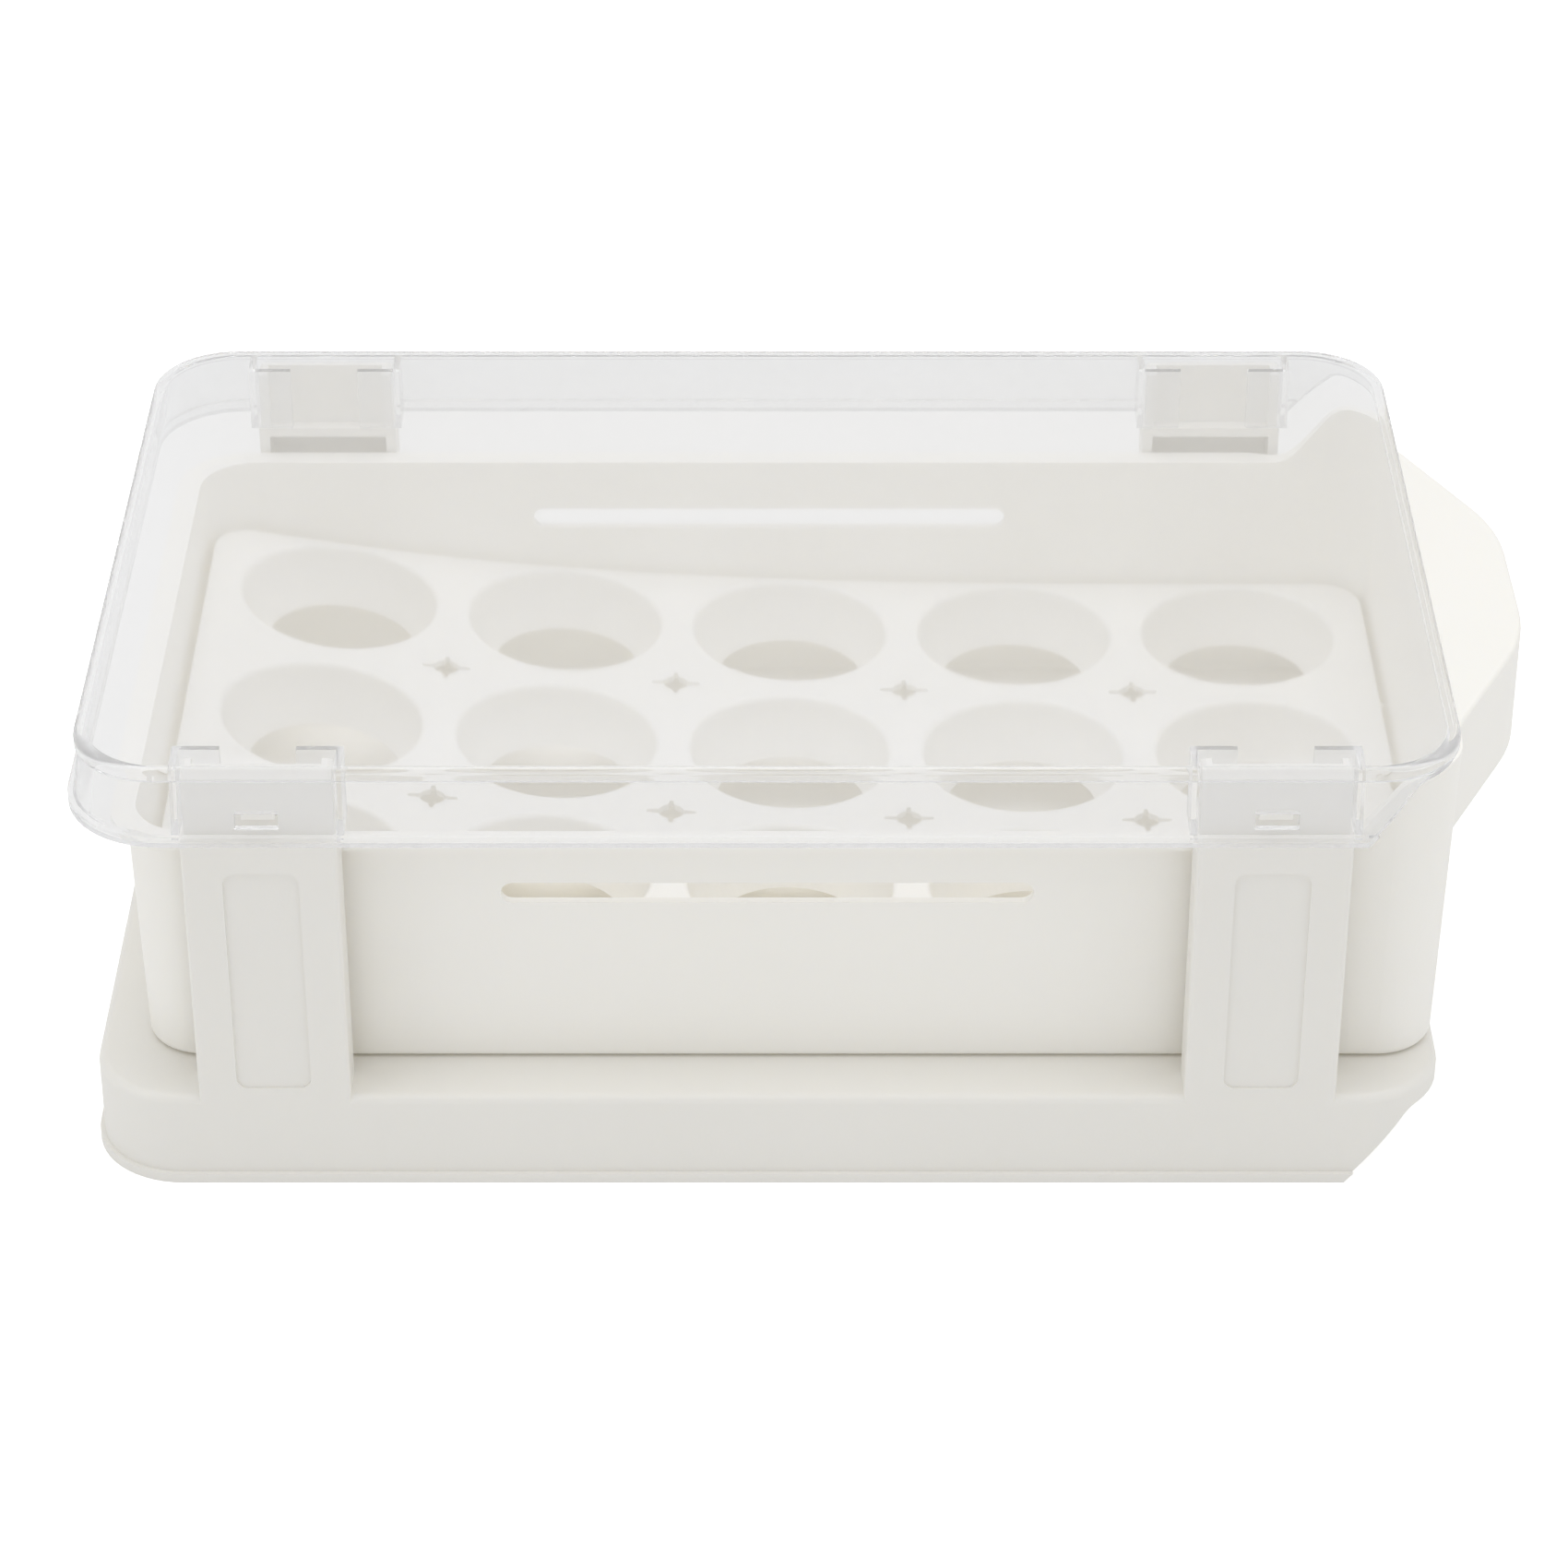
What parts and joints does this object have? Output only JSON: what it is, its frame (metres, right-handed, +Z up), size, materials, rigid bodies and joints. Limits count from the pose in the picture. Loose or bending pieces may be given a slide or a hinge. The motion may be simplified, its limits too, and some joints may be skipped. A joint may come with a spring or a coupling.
{
  "type": "egg holder box",
  "caption": "Stackable fridge egg box: posted base, clear lift-off lid, and a side-opening drawer with a removable tray of egg cups and a D-shaped pull.",
  "frame": {"origin": "middle of the whole box's footprint, pull included, on the surface it stands on", "axes": "+Z up; +X towards the end the drawer opens at, where its pull is; the front and back long sides face -Y and +Y"},
  "size_m": [0.2948, 0.1826, 0.0983],
  "materials": {
    "cream_body": "satin moulded",
    "cream_tray": "satin moulded",
    "clear_cover": "clear moulded plastic, slightly hazy"
  },
  "bodies": {
    "base": {"base_with_posts": "cream_body"},
    "lid": {"clear_lid": "clear_cover"},
    "drawer": {"sliding_drawer": "cream_body"},
    "tray": {"egg_cup_tray": "cream_tray"}
  },
  "joints": [
    {"name": "drawer_slide", "type": "slide", "parent": "base", "child": "drawer", "axis": [1, 0, 0], "range_m": [0, 0.2]},
    {"name": "lid_lift", "type": "slide", "parent": "base", "child": "lid", "axis": [0, 0, 1], "range_m": [0, 0.03]},
    {"name": "tray_lift", "type": "slide", "parent": "drawer", "child": "tray", "axis": [0, 0, 1], "range_m": [0, 0.035]}
  ]
}
